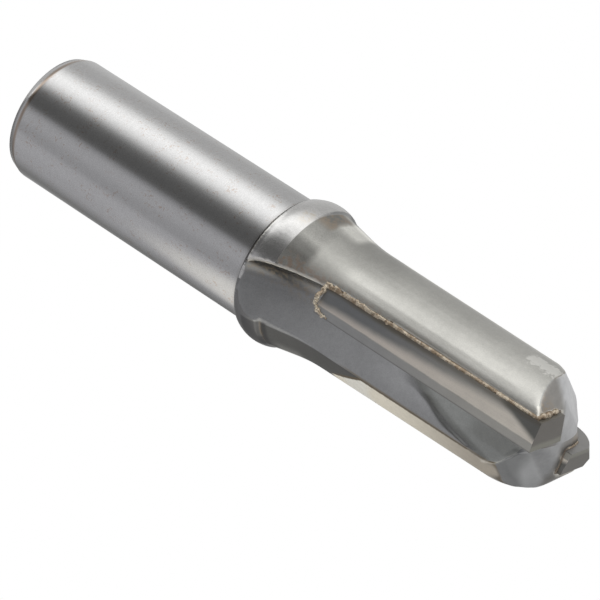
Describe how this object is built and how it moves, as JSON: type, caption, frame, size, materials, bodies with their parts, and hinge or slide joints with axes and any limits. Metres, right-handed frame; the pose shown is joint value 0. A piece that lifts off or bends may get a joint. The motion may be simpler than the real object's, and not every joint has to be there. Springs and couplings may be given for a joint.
{
  "type": "straight router bit",
  "caption": "Straight router bit: round shank, raised collar and a fluted body with brazed carbide cutting tips, one of them worn at its leading corner.",
  "frame": {"origin": "centre of the flat end of the shank", "axes": "+Z along the axis from the shank end to the cutting end, +X through the cutting edge of the first tip; the bit cuts turning from +X to +Y"},
  "size_m": [0.0142, 0.0146, 0.0635],
  "materials": {
    "steel": "ground and blasted",
    "carbide": "ground",
    "braze": "as flowed"
  },
  "bodies": {
    "root": {"steel_body": "steel", "carbide_tip_1": "carbide", "carbide_tip_2": "carbide", "braze_1": "braze", "braze_2": "braze"}
  },
  "joints": []
}
